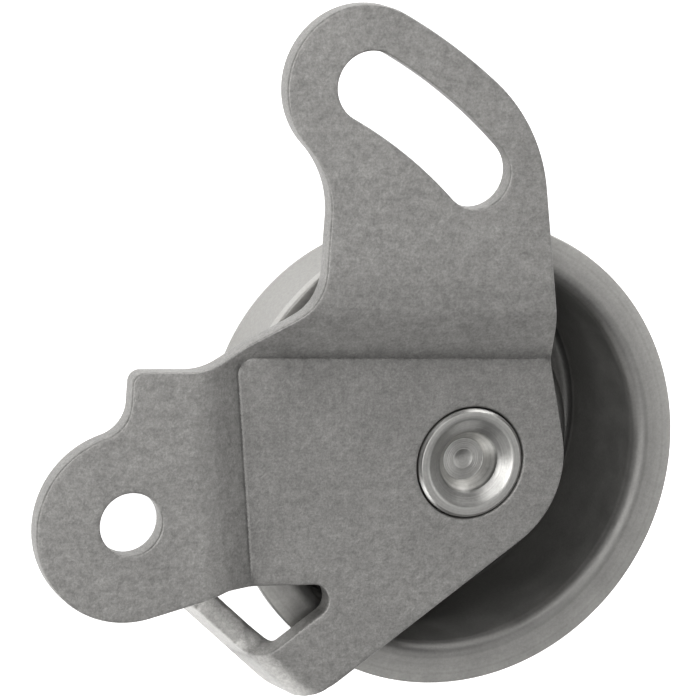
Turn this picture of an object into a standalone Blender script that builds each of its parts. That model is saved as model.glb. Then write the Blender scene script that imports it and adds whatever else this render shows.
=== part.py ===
"""Timing belt tensioner pulley: a pressed cup pulley on a sealed ball bearing, carried by a stud
that is riveted into a stamped steel bracket with a pivot hole and a curved adjusting slot.

The pulley lies on its front face. The origin is on the pulley's axis at that face, +Z points
along the axis towards the bracket, and +X and +Y lie in the bracket's plane.
"""

from math import acos, atan2, ceil, cos, pi, radians, sin, sqrt, tan

import bmesh
import bpy
from mathutils import Matrix, Vector

MM = 0.001

# Clearances
SEAT_GAP = 0.2 * MM  # between pieces that are pressed or clamped together
RUNNING_GAP = 0.3 * MM  # between pieces that turn past each other
BALL_GAP = 0.15 * MM  # between a ball and its raceways

# Pulley, one drawn sheet: belt surface with a guide flange, front web and bearing hub
SHEET = 1.8 * MM
PULLEY_WIDTH = 22.5 * MM
BELT_RADIUS = 27.8 * MM
FLANGE_RADIUS = 31.5 * MM
FLANGE_BEND = 1.2 * MM  # radius of the corner between the belt surface and the flange
FRONT_CORNER = 3.2 * MM  # outer radius of the front corner
HUB_BEND = 0.8 * MM  # inner radius where the web turns into the hub
HUB_LIP = 1.8 * MM  # how far the hub's rear lip reaches over the bearing

# Ball bearing
BEARING_BORE = 15.0 * MM
BEARING_DIAMETER = 35.0 * MM
BEARING_INSET = 2.6 * MM  # from the pulley's front face to the bearing
BALL_COUNT = 8
RING_SECTION = (BEARING_DIAMETER - BEARING_BORE) / 2
PITCH_RADIUS = (BEARING_BORE + BEARING_DIAMETER) / 4
BALL_RADIUS = 0.298 * RING_SECTION
INNER_LAND = PITCH_RADIUS - 0.18 * RING_SECTION  # radius of the inner ring's shoulders
OUTER_LAND = PITCH_RADIUS + 0.19 * RING_SECTION  # radius of the outer ring's shoulders
RING_CHAMFER = 0.5 * MM
SEAL_THICKNESS = 0.9 * MM
SEAL_INSET = 0.4 * MM
SEAL_SEAT = 1.2 * MM  # how far the seal's seat is cut into the outer ring
CAGE_SHEET = 0.5 * MM
CAGE_INNER = PITCH_RADIUS - 0.11 * RING_SECTION
CAGE_OUTER = PITCH_RADIUS + 0.11 * RING_SECTION
CAGE_POCKET_GAP = 0.3 * MM
CAGE_SEAL_GAP = 0.42 * MM  # between the cage and each seal
RIVET_RADIUS = 0.05 * RING_SECTION
RIVET_HEAD_RADIUS = 0.095 * RING_SECTION
RIVET_HEAD_CROWN = 0.065 * RING_SECTION  # radius of the head's flat top
RIVET_HEAD_HEIGHT = 0.4 * MM

# Stud and spacer sleeve
STUD_HEAD_RADIUS = INNER_LAND - RING_CHAMFER
STUD_HEAD_CHAMFER = 0.8 * MM
STUD_END_RAISED = 0.25 * MM
STUD_END_CHAMFER = 0.4 * MM
RECESS_RADIUS = 6.1 * MM  # conical recess in the riveted end
RECESS_DEPTH = 1.0 * MM
BOWL_RADIUS = 4.2 * MM  # bowl below the recess
BOWL_FLOOR = 2.6 * MM
BOWL_DEPTH = 1.4 * MM
BOWL_DIMPLE = 0.4 * MM  # further depth at its centre
SLEEVE_RADIUS = INNER_LAND - RING_CHAMFER
SLEEVE_CHAMFER = 0.6 * MM

# Bracket plate and its levels
PLATE = 3.2 * MM
PLATE_CLEARANCE = 2.0 * MM  # between the pulley's flange and the bracket
PLATE_EDGE = 0.3 * MM  # rounding of the punched edges
JOGGLE = 3.2 * MM  # how far the two ears are set towards the engine
JOGGLE_RUN = 7.8 * MM  # width of the slope between the two levels
JOGGLE_SOFT = 4.0 * MM  # width of the slope's rounded top
UPPER_CREASE_Y = 14.0 * MM
LEFT_CREASE_LEAN = radians(7.9)  # from the vertical

# Slot, an arc round the pivot, and where the pivot lies from the stud's axis
SLOT_RADIUS = 62.6 * MM
SLOT_START = radians(46.4)
SLOT_END = radians(63.5)
SLOT_HALF = 4.55 * MM
SLOT_WALL = 5.5 * MM  # plate left outside the slot
PIVOT = Vector((-0.7492, -0.107)) * SLOT_RADIUS

# Left ear with the pivot hole
PIVOT_HOLE = 4.05 * MM
PIVOT_LOBE = 12.3 * MM
PIVOT_LOBE_DROP = 0.5 * MM  # from the hole's centre to the lobe's
LEFT_CREASE_X = PIVOT.x + 13.6 * MM  # where the left crease meets the upper one
SHOULDER_LEFT = PIVOT.x - 1.0 * MM
SHOULDER_TOP = PIVOT.y + 19.5 * MM
SHOULDER_CORNER = 1.6 * MM
SHOULDER_FILLET = 4.5 * MM  # of the hollow corners
SHOULDER_SLOPE_X = PIVOT.x + 10.1 * MM  # where the top edge starts to climb to the upper ear
SHOULDER_SWEEP = 12.0 * MM  # radius of that turn
SHOULDER_SLOPE = radians(33.5)
LOWER_EDGE_SLOPE = radians(16.0)

# Upper ear with the slot
EAR_CORNER = 22.2 * MM  # radius from the right edge into the edge round the slot
EAR_CORNER_TURN = radians(51.7)
EAR_END = 10.5 * MM  # radius of the ear's round end
EAR_END_TURN = radians(64.1)
EAR_NECK = 4.2 * MM  # from the slot's end to the ear's left edge
EAR_WAIST = 12.5 * MM  # radius of the hollow below the round end
EAR_FILLET = 7.0 * MM

# Plate round the stud
STUD_LOBE = 13.4 * MM
RIGHT_DIP_X = 10.5 * MM  # shallow corner in the right edge
RIGHT_DIP_Y = 12.8 * MM
RIGHT_DIP_FILLET = 4.0 * MM

# Spring arm and its bent lug
ARM_ANGLE = radians(217.4)
ARM_WIDTH = 9.2 * MM
ARM_TAPER_START = 32.0 * MM  # where the lower edge turns towards the lug, from the stud's axis
ARM_TAPER_CORNER = 7.0 * MM
NOTCH_TOP = -16.0 * MM
NOTCH_END = -18.4 * MM
NOTCH_CORNER = 2.1 * MM
NOTCH_FILLET = 4.0 * MM
BEND_START = 33.9 * MM  # from the stud's axis along the arm's upper edge
BEND_SKEW = radians(12.0)  # the bend line's turn from square to the arm
BEND_RADIUS = 0.8 * MM
BEND_ANGLE = radians(83.0)
NEUTRAL_LINE = 0.45 * PLATE  # from the bend's inside to the sheet's unstretched line
LUG_DEPTH = 8.0 * MM
LUG_FRONT = 7.3 * MM  # the lug's extent from the arm's upper edge to each side
LUG_REAR = 11.3 * MM
LUG_CORNER = 2.0 * MM

# Levels and sizes that follow from the above
CAGE_REACH = BALL_RADIUS + CAGE_POCKET_GAP + CAGE_SHEET  # from the bearing's middle
BEARING_WIDTH = 2 * (CAGE_REACH + CAGE_SEAL_GAP + SEAL_THICKNESS + SEAL_INSET)
BEARING_REAR = BEARING_INSET + BEARING_WIDTH
BEARING_MIDDLE = BEARING_INSET + BEARING_WIDTH / 2
RACE_RADIUS = BALL_RADIUS + BALL_GAP
STUD_RADIUS = BEARING_BORE / 2 - SEAT_GAP
PLATE_BACK = PULLEY_WIDTH + PLATE_CLEARANCE
PLATE_FACE = PLATE_BACK + PLATE
CAGE_LAND = (CAGE_SHEET + SEAT_GAP) / 2  # from the bearing's middle to the middle of a cage half
BALL_PITCH = 2 * pi / BALL_COUNT
PIVOT_LOBE_CENTER = PIVOT - Vector((0, PIVOT_LOBE_DROP))
EAR_LEFT = PIVOT.x + SLOT_RADIUS * cos(SLOT_END) - EAR_NECK
RIGHT_DIP = Vector((RIGHT_DIP_X, RIGHT_DIP_Y))

# Fineness of the facets
SHELL_STEPS = 64
RING_STEPS = 40
RIVET_STEPS = 10
BALL_SEGMENTS = 12
BALL_RINGS = 8
POCKET_STEPS = 8
JOGGLE_STEPS = 4
BEND_STEPS = 6
ARC_STEP = radians(15)
ARC_CHORD = 4.0 * MM


def start_collections():
    """Empty the scene and make the collections for the pieces and the cutters."""
    for item in list(bpy.data.objects):
        bpy.data.objects.remove(item)
    groups = []
    for name in ("timing_belt_tensioner_pulley", "cutters"):
        group = bpy.data.collections.new(name)
        bpy.context.scene.collection.children.link(group)
        groups.append(group)
    return groups


PIECES, CUTTERS = start_collections()


def make_material(name, color, metallic, roughness):
    material = bpy.data.materials.new(name)
    material.use_nodes = True
    shader = material.node_tree.nodes["Principled BSDF"]
    shader.inputs["Base Color"].default_value = (*color, 1.0)
    shader.inputs["Metallic"].default_value = metallic
    shader.inputs["Roughness"].default_value = roughness
    return material


STAMPED_STEEL = make_material("stamped_steel", (0.34, 0.34, 0.32), 0.8, 0.5)
DRAWN_STEEL = make_material("drawn_steel", (0.50, 0.49, 0.46), 0.9, 0.42)
TURNED_STEEL = make_material("turned_steel", (0.55, 0.55, 0.55), 1.0, 0.25)
BEARING_STEEL = make_material("bearing_steel", (0.60, 0.60, 0.61), 1.0, 0.18)
CAGE_STEEL = make_material("cage_steel", (0.48, 0.46, 0.43), 0.9, 0.35)
SEAL_RUBBER = make_material("seal_rubber", (0.03, 0.03, 0.03), 0.0, 0.6)


def add_piece(name, mesh, material):
    piece = bpy.data.objects.new(name, mesh)
    PIECES.objects.link(piece)
    mesh.materials.append(material)
    return piece


def add_parent(name, location):
    """An empty on a joint's axis, for the pieces that turn on it."""
    parent = bpy.data.objects.new(name, None)
    parent.location = location
    PIECES.objects.link(parent)
    return parent


def arc(center, radius, start, end, steps):
    """Points on an arc, both ends included."""
    turns = [start + (end - start) * i / steps for i in range(steps + 1)]
    return [(center[0] + radius * cos(t), center[1] + radius * sin(t)) for t in turns]


# Turned and drawn pieces


def turned(name, profile, material, steps=RING_STEPS):
    """A piece of revolution from (radius, height) points that run down its outer side."""
    closed = min(radius for radius, _ in profile) > 0
    count = len(profile)
    edges = [(i, (i + 1) % count) for i in range(count if closed else count - 1)]
    mesh = bpy.data.meshes.new(name)
    mesh.from_pydata([(radius, 0, height) for radius, height in profile], edges, [])
    piece = add_piece(name, mesh, material)
    screw = piece.modifiers.new("revolve", "SCREW")
    screw.steps = steps
    screw.render_steps = steps
    screw.use_merge_vertices = True
    screw.merge_threshold = 1e-6
    screw.use_smooth_shade = True
    return piece


def add_pulley_shell():
    """The drawn sheet: flange, belt surface, front web and bearing hub."""
    rear = PULLEY_WIDTH
    flange_turn = (BELT_RADIUS + FLANGE_BEND, rear - SHEET - FLANGE_BEND)
    front_turn = (BELT_RADIUS - FRONT_CORNER, FRONT_CORNER)
    hub = BEARING_DIAMETER / 2 + SEAT_GAP
    hub_turn = (hub + SHEET + HUB_BEND, SHEET + HUB_BEND)
    lip_front = BEARING_REAR + SEAT_GAP
    lip_turn = (hub, lip_front)
    profile = [(FLANGE_RADIUS, rear), (FLANGE_RADIUS, rear - SHEET)]
    profile += arc(flange_turn, FLANGE_BEND, pi / 2, pi, 3)
    profile += arc(front_turn, FRONT_CORNER, 0, -pi / 2, 4)
    profile += arc(hub_turn, SHEET + HUB_BEND, -pi / 2, -pi, 3)
    profile += [(hub, lip_front), (hub - HUB_LIP, lip_front), (hub - HUB_LIP, lip_front + SHEET)]
    profile += arc(lip_turn, SHEET, pi / 2, 0, 2)
    profile += arc(hub_turn, HUB_BEND, pi, 3 * pi / 2, 2)
    profile += arc(front_turn, FRONT_CORNER - SHEET, -pi / 2, 0, 2)
    profile += arc(flange_turn, SHEET + FLANGE_BEND, pi, pi / 2, 5)
    return turned("pulley_shell", profile, DRAWN_STEEL, SHELL_STEPS)


def add_inner_ring():
    """Bore, two shoulders and the raceway between them."""
    race = (PITCH_RADIUS, BEARING_MIDDLE)
    opening = acos((PITCH_RADIUS - INNER_LAND) / RACE_RADIUS)
    top, bottom, bore = BEARING_REAR, BEARING_INSET, BEARING_BORE / 2
    profile = [(INNER_LAND - RING_CHAMFER, top), (INNER_LAND, top - RING_CHAMFER)]
    profile += arc(race, RACE_RADIUS, pi - opening, pi + opening, 6)
    profile += [(INNER_LAND, bottom + RING_CHAMFER), (INNER_LAND - RING_CHAMFER, bottom)]
    profile += [(bore + RING_CHAMFER, bottom), (bore, bottom + RING_CHAMFER)]
    profile += [(bore, top - RING_CHAMFER), (bore + RING_CHAMFER, top)]
    return turned("bearing_inner_ring", profile, BEARING_STEEL)


def add_outer_ring():
    """Outside, seal seats at both ends and the raceway between them."""
    race = (PITCH_RADIUS, BEARING_MIDDLE)
    opening = acos((OUTER_LAND - PITCH_RADIUS) / RACE_RADIUS)
    top, bottom, outside = BEARING_REAR, BEARING_INSET, BEARING_DIAMETER / 2
    seat = OUTER_LAND + SEAL_SEAT
    seat_depth = SEAL_INSET + SEAL_THICKNESS + SEAT_GAP
    profile = [(outside - RING_CHAMFER, top), (outside, top - RING_CHAMFER)]
    profile += [(outside, bottom + RING_CHAMFER), (outside - RING_CHAMFER, bottom)]
    profile += [(seat, bottom), (seat, bottom + seat_depth), (OUTER_LAND, bottom + seat_depth)]
    profile += arc(race, RACE_RADIUS, -opening, opening, 6)
    profile += [(OUTER_LAND, top - seat_depth), (seat, top - seat_depth), (seat, top)]
    return turned("bearing_outer_ring", profile, BEARING_STEEL)


def add_seal(name, outer_face, inward):
    """Rubber seal washer, held by the outer ring and running round the inner one."""
    inner = INNER_LAND + RUNNING_GAP
    outer = OUTER_LAND + SEAL_SEAT - SEAT_GAP
    faces = (outer_face + inward * SEAL_INSET, outer_face + inward * (SEAL_INSET + SEAL_THICKNESS))
    top, bottom = max(faces), min(faces)
    profile = [(outer, top), (outer, bottom), (inner, bottom), (inner, top)]
    return turned(name, profile, SEAL_RUBBER)


def add_stud():
    """Head under the bearing, shank through it, and the dished end riveted into the bracket."""
    end = PLATE_FACE + STUD_END_RAISED
    head = BEARING_INSET - SEAT_GAP
    bowl = end - RECESS_DEPTH
    floor = bowl - BOWL_DEPTH
    profile = [(0, floor - BOWL_DIMPLE), (BOWL_FLOOR, floor)]
    profile += [(BOWL_RADIUS, bowl), (RECESS_RADIUS, end)]
    profile += [(STUD_RADIUS - STUD_END_CHAMFER, end), (STUD_RADIUS, end - STUD_END_CHAMFER)]
    profile += [(STUD_RADIUS, head), (STUD_HEAD_RADIUS, head)]
    profile += [(STUD_HEAD_RADIUS, STUD_HEAD_CHAMFER)]
    profile += [(STUD_HEAD_RADIUS - STUD_HEAD_CHAMFER, 0), (0, 0)]
    return turned("stud", profile, TURNED_STEEL)


def add_spacer_sleeve():
    """Sleeve that holds the inner ring off the bracket."""
    bore = STUD_RADIUS + SEAT_GAP
    top, bottom = PLATE_BACK - SEAT_GAP, BEARING_REAR + SEAT_GAP
    profile = [(SLEEVE_RADIUS - SLEEVE_CHAMFER, top), (SLEEVE_RADIUS, top - SLEEVE_CHAMFER)]
    profile += [(SLEEVE_RADIUS, bottom + SLEEVE_CHAMFER), (SLEEVE_RADIUS - SLEEVE_CHAMFER, bottom)]
    profile += [(bore, bottom), (bore, top)]
    return turned("spacer_sleeve", profile, TURNED_STEEL)


# Balls and cage


def add_balls(parent):
    """The balls, on the pitch circle in the middle of the bearing."""
    for i in range(BALL_COUNT):
        bpy.ops.mesh.primitive_uv_sphere_add(
            segments=BALL_SEGMENTS, ring_count=BALL_RINGS, radius=BALL_RADIUS
        )
        ball = bpy.context.object
        ball.name = f"ball_{i + 1}"
        ball.data.name = ball.name
        ball.data.shade_smooth()
        ball.data.materials.append(BEARING_STEEL)
        for group in list(ball.users_collection):
            group.objects.unlink(ball)
        PIECES.objects.link(ball)
        ball.parent = parent
        turn = i * BALL_PITCH
        ball.location = (PITCH_RADIUS * cos(turn), PITCH_RADIUS * sin(turn), 0)


def cage_path():
    """Angle and height along the middle of one cage half: round each ball, flat in between."""
    radius = BALL_RADIUS + CAGE_POCKET_GAP + CAGE_SHEET / 2
    rise = acos(CAGE_LAND / radius)
    path = []
    for i in range(BALL_COUNT):
        for along, height in arc((0, 0), radius, pi / 2 + rise, pi / 2 - rise, POCKET_STEPS):
            path.append((i * BALL_PITCH + along / PITCH_RADIUS, height))
    return path


def add_cage_half(name, side, parent):
    """A pressed ribbon ring, with holes for the rivets through its flat lands."""
    path = cage_path()
    mesh = bpy.data.meshes.new(name)
    ribbon = bmesh.new()
    rungs = []
    for turn, height in path:
        ends = [(r * cos(turn), r * sin(turn), side * height) for r in (CAGE_INNER, CAGE_OUTER)]
        rungs.append([ribbon.verts.new(point) for point in ends])
    for rung, following in zip(rungs, rungs[1:] + rungs[:1]):
        ribbon.faces.new((rung[0], rung[1], following[1], following[0]))
    ribbon.to_mesh(mesh)
    ribbon.free()
    half = add_piece(name, mesh, CAGE_STEEL)
    half.parent = parent
    solidify = half.modifiers.new("sheet", "SOLIDIFY")
    solidify.thickness = CAGE_SHEET
    solidify.offset = 0
    solidify.use_even_offset = True
    holes = half.modifiers.new("rivet_holes", "BOOLEAN")
    holes.operation = "DIFFERENCE"
    holes.object = bpy.data.objects["rivet_drill"]
    return half


def rivet_angle(i):
    return (i + 0.5) * BALL_PITCH


def add_rivet_drill(parent):
    """Cutter with one pin for each rivet hole of the cage."""
    mesh = bpy.data.meshes.new("rivet_drill")
    pins = bmesh.new()
    for i in range(BALL_COUNT):
        turn = Matrix.Rotation(rivet_angle(i), 4, "Z")
        place = turn @ Matrix.Translation((PITCH_RADIUS, 0, 0))
        bmesh.ops.create_cone(
            pins, cap_ends=True, segments=RIVET_STEPS, depth=6 * CAGE_SHEET, matrix=place,
            radius1=RIVET_RADIUS + SEAT_GAP, radius2=RIVET_RADIUS + SEAT_GAP,
        )
    pins.to_mesh(mesh)
    pins.free()
    drill = bpy.data.objects.new("rivet_drill", mesh)
    CUTTERS.objects.link(drill)
    drill.parent = parent
    drill.hide_render = True
    drill.display_type = "WIRE"


def add_cage_rivets(parent):
    """Rivets that hold the two cage halves together between the balls."""
    under_head = CAGE_LAND + CAGE_SHEET / 2 + SEAT_GAP / 2
    top = under_head + RIVET_HEAD_HEIGHT
    half = [(0, top), (RIVET_HEAD_CROWN, top)]
    half += [(RIVET_HEAD_RADIUS, under_head), (RIVET_RADIUS, under_head)]
    profile = half + [(radius, -height) for radius, height in reversed(half)]
    for i in range(BALL_COUNT):
        rivet = turned(f"cage_rivet_{i + 1}", profile, CAGE_STEEL, RIVET_STEPS)
        rivet.parent = parent
        turn = rivet_angle(i)
        rivet.location = (PITCH_RADIUS * cos(turn), PITCH_RADIUS * sin(turn), 0)


# Bracket


def unit(angle):
    return Vector((cos(angle), sin(angle)))


def angle_to(start, end):
    return atan2(end[1] - start[1], end[0] - start[0])


def arc_between(center, radius, start, end, turning):
    """Arc points from one angle to another, counter-clockwise for turning 1, clockwise for -1."""
    sweep = (turning * (end - start)) % (2 * pi)
    steps = max(2, ceil(sweep / ARC_STEP), ceil(sweep * radius / ARC_CHORD))
    return [Vector(p) for p in arc(center, radius, start, start + turning * sweep, steps)]


def touch_angle(point, center, radius, side):
    """Angle on a circle where the line from an outside point touches it."""
    reach = (Vector(point) - Vector(center)).length
    return angle_to(center, point) + side * acos(radius / reach)


def edge_blend(edge_x, center, radius, fillet, side):
    """Centre of the fillet between a circle and a straight edge that has the plate on its right."""
    across = edge_x - fillet - center[0]
    return Vector((edge_x - fillet, center[1] + side * sqrt((radius + fillet) ** 2 - across**2)))


def rounded(before, corner, after, radius):
    """The corner's fillet, as points from the edge that comes in to the edge that leaves."""
    incoming = (corner - before).normalized()
    leaving = (after - corner).normalized()
    turning = 1 if incoming.cross(leaving) > 0 else -1
    bend = incoming.angle(leaving)
    start = corner - incoming * radius * tan(bend / 2)
    center = start + turning * radius * Vector((-incoming.y, incoming.x))
    first = angle_to(center, start)
    return arc_between(center, radius, first, first + turning * bend, turning)


def outline(stretches):
    """Join arcs, given as lists of points, and corners, given as (point, fillet radius)."""
    points = []
    for i, stretch in enumerate(stretches):
        if isinstance(stretch, list):
            points += stretch
            continue
        corner, radius = stretch
        before, after = stretches[i - 1], stretches[(i + 1) % len(stretches)]
        before = before[-1] if isinstance(before, list) else before[0]
        after = after[0]
        points += rounded(before, corner, after, radius)
    return points


ALONG_ARM = unit(ARM_ANGLE)
ACROSS_ARM = unit(ARM_ANGLE + pi / 2)
BEND_POINT = ALONG_ARM * BEND_START + ACROSS_ARM * (STUD_LOBE - ARM_WIDTH)
BEND_OUTWARD = unit(ARM_ANGLE + BEND_SKEW)
BEND_ALONG = unit(ARM_ANGLE + BEND_SKEW - pi / 2)
BEND_LENGTH = (BEND_RADIUS + NEUTRAL_LINE) * BEND_ANGLE


def lug_point(along, outward):
    """A point of the flat blank, from the bend line's start."""
    return BEND_POINT + BEND_ALONG * along + BEND_OUTWARD * outward


def slot_point(turn):
    return PIVOT + unit(turn) * SLOT_RADIUS


def plate_edge():
    """The blank's edge, counter-clockwise from the dip in its right side."""
    reach = SLOT_RADIUS + SLOT_HALF + SLOT_WALL
    ear_corner = PIVOT + unit(EAR_CORNER_TURN) * (reach - EAR_CORNER)
    ear_touch = touch_angle(RIGHT_DIP, ear_corner, EAR_CORNER, 1)
    ear_end = PIVOT + unit(EAR_END_TURN) * (reach - EAR_END)
    waist = edge_blend(EAR_LEFT, ear_end, EAR_END, EAR_WAIST, -1)
    waist_touch = angle_to(ear_end, waist)
    climb = (EAR_LEFT - SHOULDER_SLOPE_X) * tan(SHOULDER_SLOPE)
    lobe = PIVOT_LOBE_CENTER
    shoulder = edge_blend(SHOULDER_LEFT, lobe, PIVOT_LOBE, SHOULDER_FILLET, 1)
    shoulder_touch = angle_to(lobe, shoulder)
    lower_touch = LOWER_EDGE_SLOPE - pi / 2
    lower_start = lobe + unit(lower_touch) * PIVOT_LOBE
    lower_run = (NOTCH_TOP - lower_start.y) / tan(LOWER_EDGE_SLOPE)
    arm_top = STUD_LOBE - ARM_WIDTH
    notch_reach = (NOTCH_END - ACROSS_ARM.x * arm_top) / ALONG_ARM.x
    notch_foot = ALONG_ARM * notch_reach + ACROSS_ARM * arm_top
    lug_near = BEND_LENGTH
    lug_far = BEND_LENGTH + LUG_DEPTH
    lug_root = ALONG_ARM * (BEND_START + lug_near / cos(BEND_SKEW)) + ACROSS_ARM * arm_top
    taper = ALONG_ARM * ARM_TAPER_START + ACROSS_ARM * STUD_LOBE
    dip_touch = touch_angle(RIGHT_DIP, (0, 0), STUD_LOBE, -1)
    return outline([
        (RIGHT_DIP, RIGHT_DIP_FILLET),
        arc_between(ear_corner, EAR_CORNER, ear_touch, EAR_CORNER_TURN, 1),
        arc_between(PIVOT, reach, EAR_CORNER_TURN, EAR_END_TURN, 1)[1:-1],
        arc_between(ear_end, EAR_END, EAR_END_TURN, waist_touch, 1),
        arc_between(waist, EAR_WAIST, waist_touch + pi, 0, -1)[1:],
        (Vector((EAR_LEFT, SHOULDER_TOP + climb)), EAR_FILLET),
        (Vector((SHOULDER_SLOPE_X, SHOULDER_TOP)), SHOULDER_SWEEP),
        (Vector((SHOULDER_LEFT, SHOULDER_TOP)), SHOULDER_CORNER),
        arc_between(shoulder, SHOULDER_FILLET, 0, shoulder_touch + pi, -1),
        arc_between(lobe, PIVOT_LOBE, shoulder_touch, lower_touch, 1)[1:],
        (lower_start + Vector((lower_run, NOTCH_TOP - lower_start.y)), SHOULDER_FILLET),
        (Vector((NOTCH_END, NOTCH_TOP)), NOTCH_CORNER),
        (notch_foot, NOTCH_CORNER),
        (lug_root, NOTCH_FILLET),
        (lug_point(LUG_REAR, lug_near), LUG_CORNER / 2),
        (lug_point(LUG_REAR, lug_far), LUG_CORNER),
        (lug_point(-LUG_FRONT, lug_far), LUG_CORNER),
        (lug_point(-LUG_FRONT, lug_near), LUG_CORNER),
        (taper, ARM_TAPER_CORNER),
        arc_between((0, 0), STUD_LOBE, ARM_ANGLE + pi / 2, dip_touch, 1),
    ])


def slot_edge():
    """The slot: two arcs round the pivot and two round ends."""
    inner, outer = SLOT_RADIUS - SLOT_HALF, SLOT_RADIUS + SLOT_HALF
    edge = arc_between(PIVOT, outer, SLOT_START, SLOT_END, 1)
    edge += arc_between(slot_point(SLOT_END), SLOT_HALF, SLOT_END, SLOT_END + pi, 1)[1:-1]
    edge += arc_between(PIVOT, inner, SLOT_END, SLOT_START, -1)
    edge += arc_between(slot_point(SLOT_START), SLOT_HALF, SLOT_START + pi, SLOT_START, 1)[1:-1]
    return edge


def hole_edge(center, radius):
    return arc_between(center, radius, 0, -ARC_STEP, 1)


def flat_blank():
    """The punched blank, flat at the main plate's level, with lightly rounded edges."""
    curve = bpy.data.curves.new("blank", "CURVE")
    curve.dimensions = "2D"
    curve.fill_mode = "BOTH"
    curve.bevel_depth = PLATE_EDGE
    curve.bevel_resolution = 0
    curve.offset = -PLATE_EDGE
    curve.extrude = PLATE / 2 - PLATE_EDGE
    stud_hole = hole_edge((0, 0), STUD_RADIUS + SEAT_GAP)
    for edge in (plate_edge(), slot_edge(), hole_edge(PIVOT, PIVOT_HOLE), stud_hole):
        spline = curve.splines.new("POLY")
        spline.points.add(len(edge) - 1)
        for point, (x, y) in zip(spline.points, edge):
            point.co = (x, y, 0, 1)
        spline.use_cyclic_u = True
    drawn = bpy.data.objects.new("blank", curve)
    PIECES.objects.link(drawn)
    evaluated = drawn.evaluated_get(bpy.context.evaluated_depsgraph_get())
    mesh = bpy.data.meshes.new_from_object(evaluated)
    bpy.data.objects.remove(drawn)
    blank = bmesh.new()
    blank.from_mesh(mesh)
    bpy.data.meshes.remove(mesh)
    bmesh.ops.remove_doubles(blank, verts=blank.verts, dist=1e-6)
    bmesh.ops.dissolve_limit(
        blank, angle_limit=radians(0.5), verts=blank.verts, edges=blank.edges
    )
    bmesh.ops.translate(blank, verts=blank.verts, vec=(0, 0, PLATE_BACK + PLATE / 2))
    return blank


def cut_across(blank, point, normal):
    """Add edges where a plane through the point meets the blank."""
    everything = blank.verts[:] + blank.edges[:] + blank.faces[:]
    bmesh.ops.bisect_plane(
        blank, geom=everything, dist=1e-7, plane_co=(*point, 0), plane_no=(*normal, 0)
    )


def joggle_height(distance):
    """Rise of the ears at a distance from the crease: a straight slope with a rounded top."""
    straight = JOGGLE_RUN - JOGGLE_SOFT
    slope = JOGGLE / (JOGGLE_RUN - JOGGLE_SOFT / 2)
    if distance <= straight:
        return slope * max(distance, 0)
    left = max(JOGGLE_RUN - distance, 0)
    return JOGGLE - slope * left**2 / (2 * JOGGLE_SOFT)


def press_joggle(blank):
    """Set the upper and the left ear towards the engine."""
    corner = Vector((LEFT_CREASE_X, UPPER_CREASE_Y))
    upward = Vector((0, 1))
    leftward = Vector((-cos(LEFT_CREASE_LEAN), -sin(LEFT_CREASE_LEAN)))
    straight = JOGGLE_RUN - JOGGLE_SOFT
    stations = [0] + [straight + JOGGLE_SOFT * i / JOGGLE_STEPS for i in range(JOGGLE_STEPS + 1)]
    for normal in (upward, leftward):
        for station in stations:
            cut_across(blank, corner + normal * station, normal)
    cut_across(blank, corner, (leftward - upward).normalized())
    ear_bottom = PIVOT_LOBE_CENTER.y - PIVOT_LOBE - PLATE_EDGE
    for vert in blank.verts:
        if vert.co.y < ear_bottom:
            continue
        offset = vert.co.xy - corner
        vert.co.z += joggle_height(max(offset.dot(upward), offset.dot(leftward)))


def fold_lug(blank):
    """Bend the lug at the arm's end away from the engine."""
    for i in range(BEND_STEPS + 1):
        cut_across(blank, lug_point(0, BEND_LENGTH * i / BEND_STEPS), BEND_OUTWARD)
    axis_height = PLATE_BACK - BEND_RADIUS
    for vert in blank.verts:
        offset = vert.co.xy - BEND_POINT
        outward, along = offset.dot(BEND_OUTWARD), offset.dot(BEND_ALONG)
        if outward <= 0 or along > LUG_REAR + PLATE_EDGE / 2:
            continue
        turn = BEND_ANGLE * min(outward / BEND_LENGTH, 1)
        beyond = max(outward - BEND_LENGTH, 0)
        reach = vert.co.z - axis_height
        across = reach * sin(turn) + beyond * cos(turn)
        vert.co.xy = lug_point(along, across)
        vert.co.z = axis_height + reach * cos(turn) - beyond * sin(turn)


def add_bracket():
    blank = flat_blank()
    fold_lug(blank)
    press_joggle(blank)
    bmesh.ops.triangulate(blank, faces=blank.faces)
    bmesh.ops.recalc_face_normals(blank, faces=blank.faces)
    mesh = bpy.data.meshes.new("bracket")
    blank.to_mesh(mesh)
    blank.free()
    mesh.shade_smooth()
    mesh.set_sharp_from_angle(angle=radians(25))
    return add_piece("bracket", mesh, STAMPED_STEEL)


def main():
    add_bracket()
    add_stud()
    add_spacer_sleeve()
    add_inner_ring()
    turning = add_parent("pulley_axis", (0, 0, 0))
    for piece in (
        add_pulley_shell(),
        add_outer_ring(),
        add_seal("front_seal", BEARING_INSET, 1),
        add_seal("rear_seal", BEARING_REAR, -1),
    ):
        piece.parent = turning
    cage = add_parent("cage_axis", (0, 0, BEARING_MIDDLE))
    add_rivet_drill(cage)
    add_cage_half("cage_front_half", -1, cage)
    add_cage_half("cage_rear_half", 1, cage)
    add_cage_rivets(cage)
    add_balls(cage)
    bpy.context.view_layer.update()


main()
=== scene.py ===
"""Looks for the timing belt tensioner pulley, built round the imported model.

Finer meshes of the bracket, the pulley and the stud stand in for their faceted solids. The sleeve
and the bearing keep their solids. Meshes are built in millimetres. Materials and lights are in
metres, as the scene is.
"""

from math import acos, atan2, ceil, cos, pi, radians, sin, sqrt, tan

import bpy
import numpy as np
from mathutils import Matrix, Vector
from mathutils.geometry import delaunay_2d_cdt


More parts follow.
